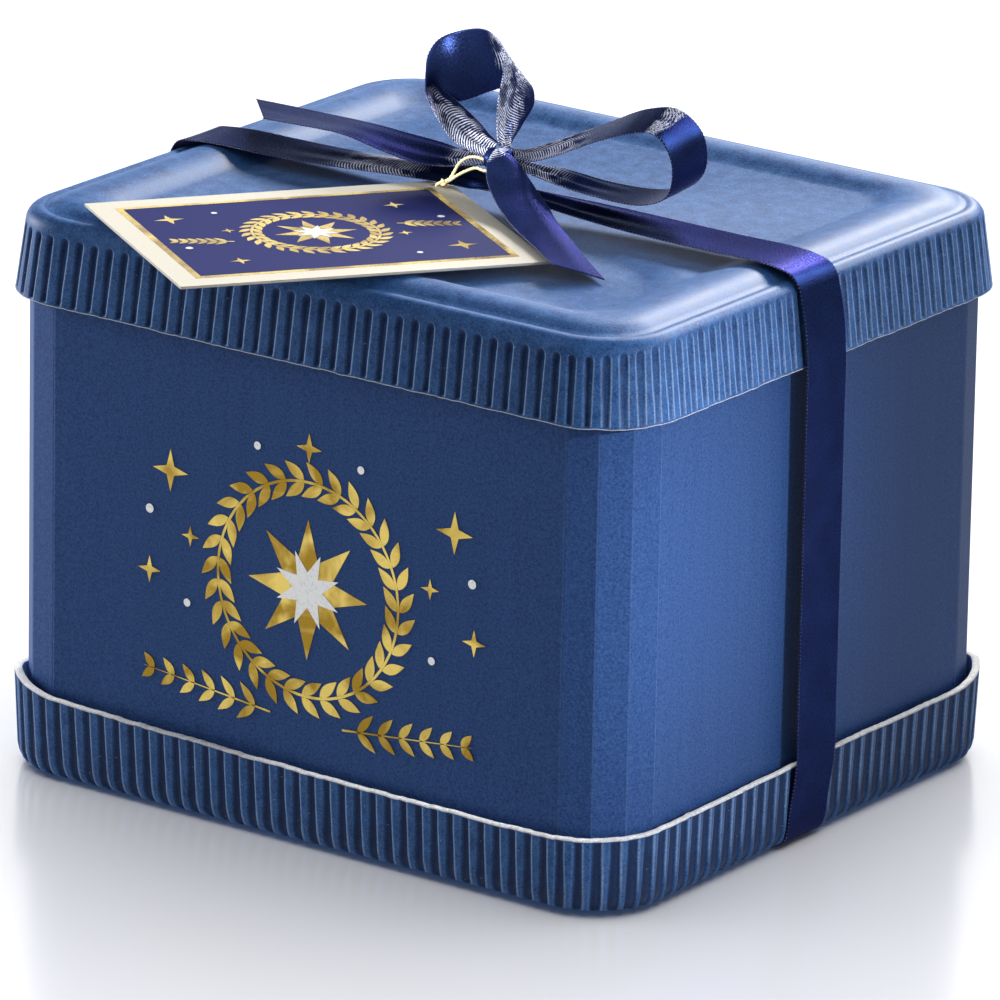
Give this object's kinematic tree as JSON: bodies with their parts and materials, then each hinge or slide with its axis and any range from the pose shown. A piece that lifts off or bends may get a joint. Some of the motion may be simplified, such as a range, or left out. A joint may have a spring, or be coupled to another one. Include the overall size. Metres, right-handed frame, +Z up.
{
  "type": "closed panettone gift box",
  "caption": "Closed cardboard gift box for a panettone, with fluted lid and tray, satin ribbon tied in a bow on top, and a card tag on a thin cord.",
  "frame": {"origin": "on the flat underside, in the middle of the tray", "axes": "+Z up, -Y towards the printed front, +X to the right seen from the front, with the ribbon running along X"},
  "size_m": [0.2528, 0.263, 0.2299],
  "materials": {
    "board": "matt coloured paper on board",
    "satin": "satin ribbon",
    "card": "printed card",
    "cord": "metallic cord"
  },
  "bodies": {
    "root": {"tray": "board", "body": "board", "lid": "board", "ribbon_band": "satin", "bow_knot": "satin", "bow_loop_upright": "satin", "bow_loop_side": "satin", "bow_tail_front": "satin", "bow_tail_left": "satin", "tag": "card", "tag_cord": "cord"}
  },
  "joints": []
}
